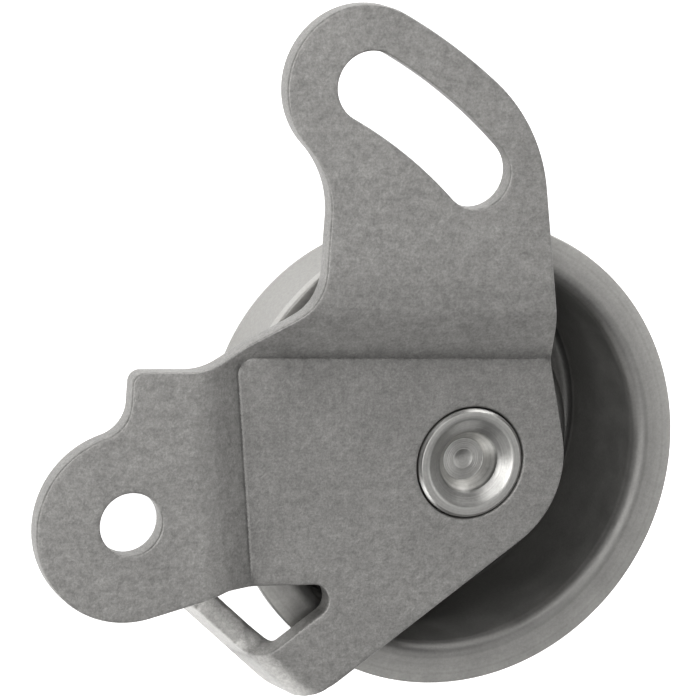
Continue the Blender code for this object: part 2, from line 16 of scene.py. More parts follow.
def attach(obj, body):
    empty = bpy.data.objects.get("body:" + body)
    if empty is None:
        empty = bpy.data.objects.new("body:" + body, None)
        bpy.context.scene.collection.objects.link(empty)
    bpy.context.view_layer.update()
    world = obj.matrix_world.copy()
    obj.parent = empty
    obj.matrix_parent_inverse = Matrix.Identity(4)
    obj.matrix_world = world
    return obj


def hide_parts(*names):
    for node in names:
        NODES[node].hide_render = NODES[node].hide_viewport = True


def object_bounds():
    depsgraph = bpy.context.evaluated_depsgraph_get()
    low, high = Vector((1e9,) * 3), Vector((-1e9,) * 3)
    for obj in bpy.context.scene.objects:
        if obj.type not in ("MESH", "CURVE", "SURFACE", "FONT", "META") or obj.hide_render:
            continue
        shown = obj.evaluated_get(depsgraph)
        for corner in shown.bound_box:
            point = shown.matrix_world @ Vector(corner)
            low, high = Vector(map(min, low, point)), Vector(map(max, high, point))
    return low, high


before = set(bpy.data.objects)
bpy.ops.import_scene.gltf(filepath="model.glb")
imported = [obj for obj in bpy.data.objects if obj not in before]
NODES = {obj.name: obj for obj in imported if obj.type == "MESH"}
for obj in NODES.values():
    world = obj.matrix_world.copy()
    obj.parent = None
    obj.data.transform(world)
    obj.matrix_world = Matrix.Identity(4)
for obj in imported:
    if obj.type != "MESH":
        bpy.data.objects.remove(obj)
CAD_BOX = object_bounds()
MM = 0.001

# Pulley, as in the CAD model but for the mouth's rounding
SEAT_GAP = 0.2  # between pieces that are pressed together
SHEET = 1.8
PULLEY_WIDTH = 22.5
BELT_RADIUS = 27.8
FLANGE_RADIUS = 31.5
FLANGE_BEND = 1.2
FRONT_CORNER = 3.2
HUB_BEND = 0.8
HUB_LIP = 1.8
MOUTH_ROLL = 1.9  # rounding from the cup's wall into the flange's rear face
BEARING_DIAMETER = 35.0
BEARING_INSET = 2.6
BEARING_REAR = 13.6

# Bracket plate and its levels, as in the CAD model
PLATE = 3.2
PLATE_BACK = 24.5
PLATE_FACE = PLATE_BACK + PLATE
JOGGLE = 3.2  # how far the two ears are set towards the engine
JOGGLE_RUN = 7.8
JOGGLE_SOFT = 4.0
UPPER_CREASE_Y = 14.0
LEFT_CREASE_LEAN = radians(7.9)
LEFTWARD = (-cos(LEFT_CREASE_LEAN), -sin(LEFT_CREASE_LEAN))  # square to the left crease

# Slot, pivot and left ear
SLOT_RADIUS = 62.6
SLOT_START = radians(46.4)
SLOT_END = radians(63.5)
SLOT_HALF = 4.55
SLOT_WALL = 5.5
PIVOT = Vector((-0.7492, -0.107)) * SLOT_RADIUS
PIVOT_HOLE = 4.05
PIVOT_LOBE = 12.3
PIVOT_LOBE_DROP = 0.5
PIVOT_LOBE_CENTER = PIVOT - Vector((0, PIVOT_LOBE_DROP))
CREASE_MEETING = (PIVOT.x + 13.6, UPPER_CREASE_Y)
SHOULDER_LEFT = PIVOT.x - 1.0
SHOULDER_TOP = PIVOT.y + 19.5
SHOULDER_CORNER = 1.6
SHOULDER_FILLET = 4.5
SHOULDER_SLOPE_X = PIVOT.x + 10.1
SHOULDER_SWEEP = 12.0
SHOULDER_SLOPE = radians(33.5)
LOWER_EDGE_SLOPE = radians(16.0)
EARS_BOTTOM = PIVOT_LOBE_CENTER.y - PIVOT_LOBE - 0.3  # just below the left ear's round

# Upper ear and right edge
EAR_CORNER = 22.2
EAR_CORNER_TURN = radians(51.7)
EAR_END = 10.5
EAR_END_TURN = radians(64.1)
EAR_NECK = 4.2
EAR_LEFT = PIVOT.x + SLOT_RADIUS * cos(SLOT_END) - EAR_NECK
EAR_WAIST = 12.5
EAR_FILLET = 7.0
STUD_LOBE = 13.4
RIGHT_DIP = Vector((10.5, 12.8))
RIGHT_DIP_FILLET = 4.0

# Arm, notch and the lug that is bent down at its end
ARM_ANGLE = radians(217.4)
ARM_WIDTH = 9.2
ARM_TAPER_START = 32.0
ARM_TAPER_CORNER = 7.0
NOTCH_TOP = -16.0
NOTCH_END = -18.4
NOTCH_CORNER = 2.1
NOTCH_FILLET = 4.0
BEND_START = 33.9
BEND_SKEW = radians(12.0)
BEND_RADIUS = 0.8
BEND_ANGLE = radians(83.0)
NEUTRAL_LINE = 0.45 * PLATE
LUG_DEPTH = 8.0
LUG_FRONT = 7.3
LUG_REAR = 11.3
LUG_CORNER = 2.0
LUG_MARGIN = 0.2  # past the lug's rear side, still folded with it

# Stud, with the dish of its riveted end
STUD_RADIUS = 7.3
STUD_END_RAISED = 0.25
STUD_END = PLATE_FACE + STUD_END_RAISED
STUD_CHAMFER = 0.4
STUD_HEAD_RADIUS = 10.2
STUD_HEAD_CHAMFER = 0.8
DRILL_RADIUS = 1.3
DRILL_DEPTH = 0.4
BOWL_FLOOR = 2.8  # radius of the flat floor
BOWL_EDGE = 4.1
BOWL_DEPTH = 2.8
WALL_DEPTH = 1.05
RECESS_EDGE = 5.95
RECESS_LIP = 0.03
RECESS_BEVEL = 0.25
BOWL_MARKS = 6  # turning marks on the floor
WALL_MARKS = 4  # and on the cone round it
MARK_HEIGHT = 0.012

# Rolled edges and creases of the bracket
FACE_ROLL = 0.3  # rounding of the punched edges on the engine's side
BACK_ROLL = 0.8  # and on the pulley's side, where the punch went in
CREASE_CORNER = 2.5  # rounding where the two creases meet
CREASE_GROOVE = 0.12  # depth of the pressed line
CREASE_HALF = 0.22  # half of its width
CREASE_BOTTOM = -14.6  # where the left line starts
CREASE_RIGHT = 9.6  # where the upper line ends
CREASE_FADE = 1.5  # over which both run out

# Fineness of the visual meshes
STUD_TURNS = 160
CUP_TURNS = 240
FLANGE_STEPS = 10
CORNER_STEPS = 14  # of the front corner and the mouth
HUB_STEPS = 12
INNER_STEPS = 8  # of the rounds inside the sheet and of the lip
STUD_SOFT = 0.1  # rounding of the turned profiles' sharp corners
CUP_SOFT = 0.35
SOFT_STEPS = 4
SOFT_FROM = radians(20)  # a corner that turns less stays as it is
SOFT_SHARE = 0.45  # of the run beside a corner that its rounding may take
SHARP_ANGLE = radians(35)  # faces that meet at more than this are shaded apart
ON_AXIS = 1e-6
ARC_STEP = radians(4)
ARC_CHORD = 0.9
GRID = 0.9
GRID_EDGE_CLEAR = 0.55 * GRID
GRID_ROW_CLEAR = 0.5 * GRID
SAME_POINT = 0.02
MITRE_LIMIT = 0.5
ROLL_RINGS = 5
WALL_RING = 0.6  # height of a ring of points in the edge's flat wall, as a share of the sheet
BEND_ROWS = 12
CREASE_ROWS = (-0.9, -0.45, -0.22, -0.1, 0, 0.1, 0.22, 0.45, 0.9)  # offsets from the crease
ROW_STEP = 0.5
ROW_CLEAR = 0.2
UPPER_ROW_POINTS = 100
LEFT_ROW_POINTS = 75
BEND_ROW_POINTS = 46
BEND_ROW_START = -10
CHUNK = 2000  # points that are measured against others at a time
TRIANGLES = 0  # kind of output of delaunay_2d_cdt
MERGE_DISTANCE = 1e-5


# Camera at the photograph's viewing angle

CAMERA_RIGHT = Vector((0.932870, 0.074309, 0.352466))
CAMERA_UP = Vector((-0.000805, 0.978918, -0.204251))
CAMERA_BACK = Vector((-0.360213, 0.190256, 0.913263))
CAMERA_PLACE = Vector((-0.179371, 0.100273, 0.436631))
CAMERA_LENS = 180.0
CAMERA_SENSOR = 36.0
CAMERA_CLIP = (0.01, 20.0)


def add_camera():
    data = bpy.data.cameras.new("camera")
    data.lens = CAMERA_LENS
    data.sensor_width = CAMERA_SENSOR
    data.clip_start, data.clip_end = CAMERA_CLIP
    camera = bpy.data.objects.new("camera", data)
    bpy.context.scene.collection.objects.link(camera)
    place = Matrix.Identity(4)
    for column, axis in enumerate((CAMERA_RIGHT, CAMERA_UP, CAMERA_BACK)):
        for row in range(3):
            place[row][column] = axis[row]
    place.translation = CAMERA_PLACE
    camera.matrix_world = place
    bpy.context.scene.camera = camera


add_camera()


# Mesh helpers, in millimetres

def add_mesh(name, points, faces):
    mesh = bpy.data.meshes.new(name)
    mesh.from_pydata((np.asarray(points, float) * MM).tolist(), [], faces)
    mesh.validate()
    piece = bpy.data.objects.new(name, mesh)
    bpy.context.scene.collection.objects.link(piece)
    mesh.shade_smooth()
    mesh.set_sharp_from_angle(angle=SHARP_ANGLE)
    return piece


def arc(center, radius, start, end, steps):
    turns = [start + (end - start) * i / steps for i in range(steps + 1)]
    return [(center[0] + radius * cos(t), center[1] + radius * sin(t)) for t in turns]


def softened(profile, radius, closed):
    """The profile with each sharp corner rounded, to about the radius or to what fits."""
    count = len(profile)
    result = []
    for i, point in enumerate(profile):
        here = Vector(point)
        if not closed and i in (0, count - 1):
            result.append(here)
            continue
        before = Vector(profile[i - 1])
        after = Vector(profile[(i + 1) % count])
        incoming, leaving = here - before, after - here
        bend = incoming.angle(leaving)
        if bend < SOFT_FROM:
            result.append(here)
            continue
        room = min(incoming.length * SOFT_SHARE, leaving.length * SOFT_SHARE)
        reach = min(radius * tan(bend / 2), room)
        start = here - incoming.normalized() * reach
        end = here + leaving.normalized() * reach
        for k in range(SOFT_STEPS + 1):
            t = k / SOFT_STEPS
            result.append(start * (1 - t) ** 2 + here * 2 * t * (1 - t) + end * t**2)
    return [(p[0], p[1]) for p in result]


def turned(name, profile, soft, turns):
    """A mesh of revolution about Z from (radius, height) points that run down its outer side."""
    closed = min(radius for radius, _ in profile) > 0
    profile = softened(profile, soft, closed)
    count = len(profile)
    points, rings = [], []
    for radius, height in profile:
        if radius < ON_AXIS:
            rings.append([len(points)] * turns)
            points.append((0, 0, height))
            continue
        rings.append(list(range(len(points), len(points) + turns)))
        for k in range(turns):
            t = 2 * pi * k / turns
            points.append((radius * cos(t), radius * sin(t), height))
    faces = []
    for i in range(count if closed else count - 1):
        upper, lower = rings[i], rings[(i + 1) % count]
        for k in range(turns):
            n = (k + 1) % turns
            face = [upper[k], lower[k], lower[n], upper[n]]
            faces.append([v for j, v in enumerate(face) if v != face[j - 1]])
    return add_mesh(name, points, faces)


# Bracket outline, as in the CAD model but with finer arcs

def unit(angle):
    return Vector((cos(angle), sin(angle)))


def angle_to(start, end):
    return atan2(end[1] - start[1], end[0] - start[0])


def arc_between(center, radius, start, end, turning):
    """Points of an arc that turns anticlockwise for 1 and clockwise for -1."""
    sweep = (turning * (end - start)) % (2 * pi)
    steps = max(2, ceil(sweep / ARC_STEP), ceil(sweep * radius / ARC_CHORD))
    return [Vector(p) for p in arc(center, radius, start, start + turning * sweep, steps)]


def touch_angle(point, center, radius, side):
    """Angle on a circle at which a line from the point touches it."""
    reach = (Vector(point) - Vector(center)).length
    return angle_to(center, point) + side * acos(radius / reach)


def edge_blend(edge_x, center, radius, fillet, side):
    """Centre of the fillet between an upright edge, to its right, and the outside of a circle."""
    across = edge_x - fillet - center[0]
    return Vector((edge_x - fillet, center[1] + side * sqrt((radius + fillet) ** 2 - across**2)))


def rounded(before, corner, after, radius):
    """Points of the fillet that rounds a corner between two straight runs."""
    incoming = (corner - before).normalized()
    leaving = (after - corner).normalized()
    turning = 1 if incoming.cross(leaving) > 0 else -1
    bend = incoming.angle(leaving)
    start = corner - incoming * radius * tan(bend / 2)
    center = start + turning * radius * Vector((-incoming.y, incoming.x))
    first = angle_to(center, start)
    return arc_between(center, radius, first, first + turning * bend, turning)


def outline(stretches):
    """A closed edge from lists of points and (corner, radius) pairs."""
    points = []
    for i, stretch in enumerate(stretches):
        if isinstance(stretch, list):
            points += stretch
            continue
        corner, radius = stretch
        before, after = stretches[i - 1], stretches[(i + 1) % len(stretches)]
        before = before[-1] if isinstance(before, list) else before[0]
        points += rounded(before, corner, after[0], radius)
    return points


ALONG_ARM = unit(ARM_ANGLE)
ACROSS_ARM = unit(ARM_ANGLE + pi / 2)
BEND_POINT = ALONG_ARM * BEND_START + ACROSS_ARM * (STUD_LOBE - ARM_WIDTH)
BEND_OUTWARD = unit(ARM_ANGLE + BEND_SKEW)
BEND_ALONG = unit(ARM_ANGLE + BEND_SKEW - pi / 2)
BEND_LENGTH = (BEND_RADIUS + NEUTRAL_LINE) * BEND_ANGLE


def lug_point(along, outward):
    """A point of the flat blank, measured from the lug's bend."""
    return BEND_POINT + BEND_ALONG * along + BEND_OUTWARD * outward


def plate_edge():
    reach = SLOT_RADIUS + SLOT_HALF + SLOT_WALL
    ear_corner = PIVOT + unit(EAR_CORNER_TURN) * (reach - EAR_CORNER)
    ear_touch = touch_angle(RIGHT_DIP, ear_corner, EAR_CORNER, 1)
    ear_end = PIVOT + unit(EAR_END_TURN) * (reach - EAR_END)
    waist = edge_blend(EAR_LEFT, ear_end, EAR_END, EAR_WAIST, -1)
    waist_touch = angle_to(ear_end, waist)
    climb = (EAR_LEFT - SHOULDER_SLOPE_X) * tan(SHOULDER_SLOPE)
    lobe = PIVOT_LOBE_CENTER
    shoulder = edge_blend(SHOULDER_LEFT, lobe, PIVOT_LOBE, SHOULDER_FILLET, 1)
    shoulder_touch = angle_to(lobe, shoulder)
    lower_touch = LOWER_EDGE_SLOPE - pi / 2
    lower_start = lobe + unit(lower_touch) * PIVOT_LOBE
    lower_run = (NOTCH_TOP - lower_start.y) / tan(LOWER_EDGE_SLOPE)
    arm_top = STUD_LOBE - ARM_WIDTH
    notch_reach = (NOTCH_END - ACROSS_ARM.x * arm_top) / ALONG_ARM.x
    notch_foot = ALONG_ARM * notch_reach + ACROSS_ARM * arm_top
    lug_near = BEND_LENGTH
    lug_far = BEND_LENGTH + LUG_DEPTH
    lug_root = ALONG_ARM * (BEND_START + lug_near / cos(BEND_SKEW)) + ACROSS_ARM * arm_top
    taper = ALONG_ARM * ARM_TAPER_START + ACROSS_ARM * STUD_LOBE
    dip_touch = touch_angle(RIGHT_DIP, (0, 0), STUD_LOBE, -1)
    return outline([
        (RIGHT_DIP, RIGHT_DIP_FILLET),
        arc_between(ear_corner, EAR_CORNER, ear_touch, EAR_CORNER_TURN, 1),
        arc_between(PIVOT, reach, EAR_CORNER_TURN, EAR_END_TURN, 1)[1:-1],
        arc_between(ear_end, EAR_END, EAR_END_TURN, waist_touch, 1),
        arc_between(waist, EAR_WAIST, waist_touch + pi, 0, -1)[1:],
        (Vector((EAR_LEFT, SHOULDER_TOP + climb)), EAR_FILLET),
        (Vector((SHOULDER_SLOPE_X, SHOULDER_TOP)), SHOULDER_SWEEP),
        (Vector((SHOULDER_LEFT, SHOULDER_TOP)), SHOULDER_CORNER),
        arc_between(shoulder, SHOULDER_FILLET, 0, shoulder_touch + pi, -1),
        arc_between(lobe, PIVOT_LOBE, shoulder_touch, lower_touch, 1)[1:],
        (lower_start + Vector((lower_run, NOTCH_TOP - lower_start.y)), SHOULDER_FILLET),
        (Vector((NOTCH_END, NOTCH_TOP)), NOTCH_CORNER),
        (notch_foot, NOTCH_CORNER),
        (lug_root, NOTCH_FILLET),
        (lug_point(LUG_REAR, lug_near), LUG_CORNER / 2),
        (lug_point(LUG_REAR, lug_far), LUG_CORNER),
        (lug_point(-LUG_FRONT, lug_far), LUG_CORNER),
        (lug_point(-LUG_FRONT, lug_near), LUG_CORNER),
        (taper, ARM_TAPER_CORNER),
        arc_between((0, 0), STUD_LOBE, ARM_ANGLE + pi / 2, dip_touch, 1),
    ])


def slot_edge():
    inner, outer = SLOT_RADIUS - SLOT_HALF, SLOT_RADIUS + SLOT_HALF
    ends = [PIVOT + unit(turn) * SLOT_RADIUS for turn in (SLOT_START, SLOT_END)]
    edge = arc_between(PIVOT, outer, SLOT_START, SLOT_END, 1)
    edge += arc_between(ends[1], SLOT_HALF, SLOT_END, SLOT_END + pi, 1)[1:-1]
    edge += arc_between(PIVOT, inner, SLOT_END, SLOT_START, -1)
    edge += arc_between(ends[0], SLOT_HALF, SLOT_START + pi, SLOT_START, 1)[1:-1]
    return edge


def hole_edge(center, radius):
    return arc_between(center, radius, 0, -ARC_STEP, 1)


# Bracket mesh

def resampled(edge):
    """A closed edge with long runs divided and coincident points dropped."""
    points = []
    for i, point in enumerate(edge):
        following = edge[(i + 1) % len(edge)]
        run = (following - point).length
        if run < SAME_POINT:
            continue
        parts = max(1, round(run / ARC_CHORD))
        for k in range(parts):
            points.append(point.lerp(following, k / parts))
    return np.array([(p.x, p.y) for p in points])


def inward(loop):
    """Unit normals of a closed loop that point into the plate, which lies on its left."""
    step = np.roll(loop, -1, axis=0) - loop
    step /= np.linalg.norm(step, axis=1)[:, None]
    normal = np.c_[-step[:, 1], step[:, 0]]
    mean = normal + np.roll(normal, 1, axis=0)
    mean /= np.linalg.norm(mean, axis=1)[:, None]
    return mean / np.clip(np.sum(mean * normal, axis=1), MITRE_LIMIT, 1)[:, None]


def inside(points, loop):
    """Which points lie inside a closed loop."""
    x, y = points[:, 0], points[:, 1]
    result = np.zeros(len(points), bool)
    for (ax, ay), (bx, by) in zip(loop, np.roll(loop, -1, axis=0)):
        crosses = (ay > y) != (by > y)
        with np.errstate(divide="ignore", invalid="ignore"):
            at = ax + (y - ay) * (bx - ax) / (by - ay)
        result ^= crosses & (x < at)
    return result


def on_plate(points, loops):
    """Which points lie inside the first loop and outside the others."""
    result = inside(points, loops[0])
    for loop in loops[1:]:
        result &= ~inside(points, loop)
    return result


def clear_of(points, others, distance):
    """The points that lie at least the distance from all others."""
    near = np.zeros(len(points), bool)
    for start in range(0, len(points), CHUNK):
        part = points[start:start + CHUNK]
        gap = np.linalg.norm(part[:, None] - others[None], axis=2).min(axis=1)
        near[start:start + CHUNK] = gap < distance
    return points[~near]


def fold_lug(points):
    """Fold the lug down in the blank's points, and say which points lie in it."""
    root, outer, side = (np.array(v) for v in (BEND_POINT, BEND_OUTWARD, BEND_ALONG))
    flat = points[:, :2] - root
    outward, along = flat @ outer, flat @ side
    lug = (outward > 0) & (along < LUG_REAR + LUG_MARGIN)
    turn = BEND_ANGLE * np.clip(outward / BEND_LENGTH, 0, 1)
    beyond = np.clip(outward - BEND_LENGTH, 0, None)
    axis_height = PLATE_BACK - BEND_RADIUS
    reach = points[:, 2] - axis_height
    across = reach * np.sin(turn) + beyond * np.cos(turn)
    folded = root + along[:, None] * side + across[:, None] * outer
    points[lug, :2] = folded[lug]
    points[lug, 2] = (axis_height + reach * np.cos(turn) - beyond * np.sin(turn))[lug]
    return lug


def crease_distance(points):
    """Distance past the creases towards the ears, negative on the main face."""
    offset = points[:, :2] - np.array(CREASE_MEETING)
    up, left = offset[:, 1] + CREASE_CORNER, offset @ np.array(LEFTWARD) + CREASE_CORNER
    distance = np.hypot(np.clip(up, 0, None), np.clip(left, 0, None))
    return distance + (np.clip(np.maximum(up, left), None, 0) - CREASE_CORNER)


def joggle_height(distance):
    """Rise of the ears: a straight slope from the crease, then a soft top."""
    straight = JOGGLE_RUN - JOGGLE_SOFT
    slope = JOGGLE / (JOGGLE_RUN - JOGGLE_SOFT / 2)
    left = np.clip(JOGGLE_RUN - distance, 0, None)
    soft = JOGGLE - slope * left**2 / (2 * JOGGLE_SOFT)
    return np.where(distance <= straight, slope * np.clip(distance, 0, None), soft)


def crease_groove(distance, x, y):
    """Depth of the pressed line, faded out before it reaches the plate's edge."""
    lower = np.clip((y - CREASE_BOTTOM) / CREASE_FADE, 0, 1)
    right = np.clip((CREASE_RIGHT - x) / CREASE_FADE, 0, 1)
    return -CREASE_GROOVE * (lower * right) * np.clip(1 - np.abs(distance) / CREASE_HALF, 0, 1)


def shaped(points):
    """Flat blank points (x, y, z) with the lug folded and the ears set towards the engine."""
    points = points.copy()
    lug = fold_lug(points)
    distance = crease_distance(points)
    ears = (points[:, 1] >= EARS_BOTTOM) & ~lug
    face = np.clip((points[:, 2] - PLATE_BACK) / PLATE, 0, 1)
    groove = face * crease_groove(distance, points[:, 0], points[:, 1])
    points[:, 2] += np.where(ears, joggle_height(distance) + groove, 0)
    return np.clip(points, np.array(CAD_BOX[0]) / MM, np.array(CAD_BOX[1]) / MM)


def crease_rows(loops):
    """Rows of points beside both creases and across the lug's bend, on the flat of the plate."""
    corner, left = Vector(CREASE_MEETING), Vector(LEFTWARD)
    down = Vector((sin(LEFT_CREASE_LEAN), -cos(LEFT_CREASE_LEAN)))
    rows = []
    for offset in CREASE_ROWS:
        runs = [
            ROW_STEP * k + ROW_STEP / 2 + max(0, -offset)
            for k in range(max(UPPER_ROW_POINTS, LEFT_ROW_POINTS))
        ]
        start = corner + Vector((0, offset))
        rows.append([start + Vector((run, 0)) for run in runs[:UPPER_ROW_POINTS]])
        start = corner + left * offset
        rows.append([start + down * run for run in runs[:LEFT_ROW_POINTS]])
    for k in range(BEND_ROWS + 1):
        outward = BEND_LENGTH * k / BEND_ROWS
        alongs = [ROW_STEP * j + BEND_ROW_START for j in range(BEND_ROW_POINTS)]
        rows.append([lug_point(along, outward) for along in alongs])
    points = np.array([(p.x, p.y) for row in rows for p in row])
    points = points[on_plate(points, loops)]
    for loop in loops:
        points = clear_of(points, loop, ROW_CLEAR)
    return points


def sheet_points(loops, inner):
    """The flat's points: the inner loops, the rows and a grid of triangles between them."""
    rows = crease_rows(inner)
    low, high = loops[0].min(axis=0), loops[0].max(axis=0)
    xs = np.arange(low[0], high[0], GRID)
    ys = np.arange(low[1], high[1], GRID * sqrt(3) / 2)
    grid = np.array([(x + (j % 2) * GRID / 2, y) for j, y in enumerate(ys) for x in xs])
    grid = grid[on_plate(grid, inner)]
    for loop in inner:
        grid = clear_of(grid, loop, GRID_EDGE_CLEAR)
    grid = clear_of(grid, rows, GRID_ROW_CLEAR)
    return np.concatenate(inner + [rows, grid])


def sheet_faces(sheet, inner):
    """Triangles of the flat, all turned anticlockwise."""
    edges, first = [], 0
    for loop in inner:
        count = len(loop)
        edges += [(first + i, first + (i + 1) % count) for i in range(count)]
        first += count
    _, _, faces, origin, _, _ = delaunay_2d_cdt(
        [Vector(p) for p in sheet], edges, [], TRIANGLES, MERGE_DISTANCE, True
    )
    order = [ids[0] for ids in origin]
    faces = np.array([[order[i] for i in face] for face in faces])
    faces = faces[on_plate(sheet[faces].mean(axis=1), inner)]
    a, b, c = (sheet[faces[:, k]] for k in range(3))
    area = (b - a)[:, 0] * (c - a)[:, 1] - (b - a)[:, 1] * (c - a)[:, 0]
    faces[area < 0] = faces[area < 0][:, ::-1]
    return faces


def edge_levels():
    """(inset, height) of the rings from the plate's face round its edge to its back."""
    turns = [pi / 2 * k / ROLL_RINGS for k in range(ROLL_RINGS + 1)]
    levels = [
        (FACE_ROLL * (1 - sin(turn)), PLATE_FACE - FACE_ROLL * (1 - cos(turn))) for turn in turns
    ]
    levels.append((0, PLATE_BACK + PLATE * WALL_RING))
    levels += [
        (BACK_ROLL * (1 - sin(turn)), PLATE_BACK + BACK_ROLL * (1 - cos(turn)))
        for turn in turns[:0:-1]
    ]
    return levels


def add_bracket():
    loops = [resampled(edge) for edge in (
        plate_edge(), slot_edge()[::-1], hole_edge(PIVOT, PIVOT_HOLE)[::-1],
        hole_edge((0, 0), STUD_RADIUS + SEAT_GAP)[::-1],
    )]
    inner = [loop + BACK_ROLL * inward(loop) for loop in loops]
    sheet = sheet_points(loops, inner)
    faces = sheet_faces(sheet, inner)
    count = len(sheet)
    points = [np.c_[sheet, np.full(count, level)] for level in (PLATE_FACE, PLATE_BACK)]
    polygons = faces.tolist() + (faces[:, ::-1] + count).tolist()
    levels = edge_levels()
    total, first = 2 * count, 0
    for loop in loops:
        n = len(loop)
        normal = inward(loop)
        rings = [list(range(first, first + n))]
        for inset, height in levels:
            points.append(np.c_[loop + inset * normal, np.full(n, height)])
            rings.append(list(range(total, total + n)))
            total += n
        rings.append(list(range(count + first, count + first + n)))
        for upper, lower in zip(rings, rings[1:]):
            for i in range(n):
                j = (i + 1) % n
                polygons.append([upper[i], lower[i], lower[j], upper[j]])
        first += n
    bracket = add_mesh("bracket_plate", shaped(np.concatenate(points)), polygons)
    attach(bracket, "bracket")
    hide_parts("bracket")
    return bracket


# Turned and drawn pieces

def add_pulley():
    rear = PULLEY_WIDTH
    flange_turn = (BELT_RADIUS + FLANGE_BEND, rear - SHEET - FLANGE_BEND)
    front_turn = (BELT_RADIUS - FRONT_CORNER, FRONT_CORNER)
    hub = BEARING_DIAMETER / 2 + SEAT_GAP
    hub_turn = (hub + SHEET + HUB_BEND, SHEET + HUB_BEND)
    lip_front = BEARING_REAR + SEAT_GAP
    profile = [(FLANGE_RADIUS, rear), (FLANGE_RADIUS, rear - SHEET)]
    profile += arc(flange_turn, FLANGE_BEND, pi / 2, pi, FLANGE_STEPS)
    profile += arc(front_turn, FRONT_CORNER, 0, -pi / 2, CORNER_STEPS)
    profile += arc(hub_turn, SHEET + HUB_BEND, -pi / 2, -pi, HUB_STEPS)
    profile += [(hub, lip_front), (hub - HUB_LIP, lip_front), (hub - HUB_LIP, lip_front + SHEET)]
    profile += arc((hub, lip_front), SHEET, pi / 2, 0, INNER_STEPS)
    profile += arc(hub_turn, HUB_BEND, pi, 3 * pi / 2, INNER_STEPS)
    profile += arc(front_turn, FRONT_CORNER - SHEET, -pi / 2, 0, INNER_STEPS)
    mouth_turn = (BELT_RADIUS - SHEET + MOUTH_ROLL, rear - MOUTH_ROLL)
    profile += arc(mouth_turn, MOUTH_ROLL, pi, pi / 2, CORNER_STEPS)
    pulley = turned("pulley_cup", profile, CUP_SOFT, CUP_TURNS)
    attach(pulley, "pulley")
    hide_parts("pulley_shell")
    return pulley


def add_stud():
    floor = STUD_END - BOWL_DEPTH
    profile = [(0, floor - DRILL_DEPTH)]
    quarters = BOWL_MARKS * 4
    for k in range(quarters + 1):
        radius = DRILL_RADIUS + (BOWL_FLOOR - DRILL_RADIUS) * k / quarters
        profile.append((radius, floor + MARK_HEIGHT * (0, 1, 0, -1)[k % 4]))
    profile.append((BOWL_EDGE, STUD_END - WALL_DEPTH))
    halves = WALL_MARKS * 2
    for k in range(1, halves):
        radius = BOWL_EDGE + (RECESS_EDGE - BOWL_EDGE) * (k / halves)
        height = STUD_END - WALL_DEPTH * (1 - k / halves)
        profile.append((radius, height + MARK_HEIGHT * (0.5 if k % 2 else -0.5)))
    profile += [(RECESS_EDGE, STUD_END - RECESS_LIP), (RECESS_EDGE + RECESS_BEVEL, STUD_END)]
    profile += [(STUD_RADIUS - STUD_CHAMFER, STUD_END), (STUD_RADIUS, STUD_END - STUD_CHAMFER)]
    head = BEARING_INSET - SEAT_GAP
    profile += [(STUD_RADIUS, head), (STUD_HEAD_RADIUS, head)]
    profile += [(STUD_HEAD_RADIUS, STUD_HEAD_CHAMFER)]
    profile += [(STUD_HEAD_RADIUS - STUD_HEAD_CHAMFER, 0), (0, 0)]
    stud = turned("stud_turned", profile, STUD_SOFT, STUD_TURNS)
    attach(stud, "bracket")
    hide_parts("stud")
    return stud


BRACKET = add_bracket()
PULLEY = add_pulley()
STUD = add_stud()


# Materials

# Base colours, before their tone
STAMPED_COLOR = (0.271, 0.266, 0.2565)
DRAWN_COLOR = (0.35, 0.344, 0.33)
TURNED_COLOR = (0.42, 0.415, 0.40)
SHEET_METALLIC = 0.75
TURNED_METALLIC = 0.9

# Painted shade along each crease and on the plate below it, and painted light just past it on the
# slope, by the distance past the crease, towards the ears
UPPER_PAINTED_LIGHT_AND_SHADE = (
    (-0.0300, 1.0), (-0.0180, 0.93), (-0.0080, 0.87), (-0.0050, 0.84), (-0.0025, 0.80),
    (-0.0010, 0.75), (-0.0004, 0.68), (-0.0001, 0.60), (0.0003, 0.62), (0.0008, 0.76),
    (0.0016, 0.93), (0.0026, 1.05), (0.0045, 1.06), (0.0060, 1.0), (0.0070, 0.95),
    (0.0080, 0.88), (0.0093, 0.87), (0.0104, 0.93), (0.0120, 1.0),
)
LEFT_PAINTED_LIGHT_AND_SHADE = (
    (-0.0060, 1.0), (-0.0030, 0.93), (-0.0015, 0.86), (-0.0006, 0.78), (-0.0002, 0.66),
    (0.0001, 0.64), (0.0004, 0.84), (0.0012, 0.93), (0.0030, 1.0), (0.0060, 1.05),
    (0.0075, 1.05), (0.0090, 1.03), (0.0110, 1.0),
)
UPPER_PAINTED_LIGHT_AND_SHADE_END = (-0.0070, -0.0010)  # past the left crease, where the upper one's shade runs out
LEFT_PAINTED_LIGHT_AND_SHADE_END = (-0.0015, 0.0005)  # past the upper crease, where the left one's runs out

# Painted light on the lug, and where it sets in past the bend and ends beside the lug
LUG_PAINTED_LIGHT = 1.65
LUG_PAINTED_LIGHT_START = (0.0008, 0.0032)
LUG_PAINTED_LIGHT_SIDE = (0.0115, 0.0130)

# Painted shade inside the pulley's cup and on the mouth's rounding, and a painted highlight towards
# the flange's rim, by radius, and the parts of it that keep a plain tone:
# the front, the front corner by radius less height, and the belt surface below the flange
CUP_PAINTED_LIGHT_AND_SHADE = (
    (0.0150, 0.28), (0.0200, 0.28), (0.0215, 0.38), (0.0240, 0.30), (0.0258, 0.25),
    (0.02593, 0.84), (0.02604, 0.84), (0.0262, 0.60), (0.0270, 0.50), (0.0276, 0.60),
    (0.0282, 0.78), (0.0290, 0.92), (0.0300, 0.99), (0.0308, 1.08), (0.0315, 1.20),
)
CUP_FRONT_HEIGHT = (0.0006, 0.0012)
CUP_FRONT_CORNER = (0.0238, 0.0242)
CUP_FLANGE_HEIGHT = (0.0201, 0.0204)
CUP_BELT_RADIUS = (0.0265, 0.0270)
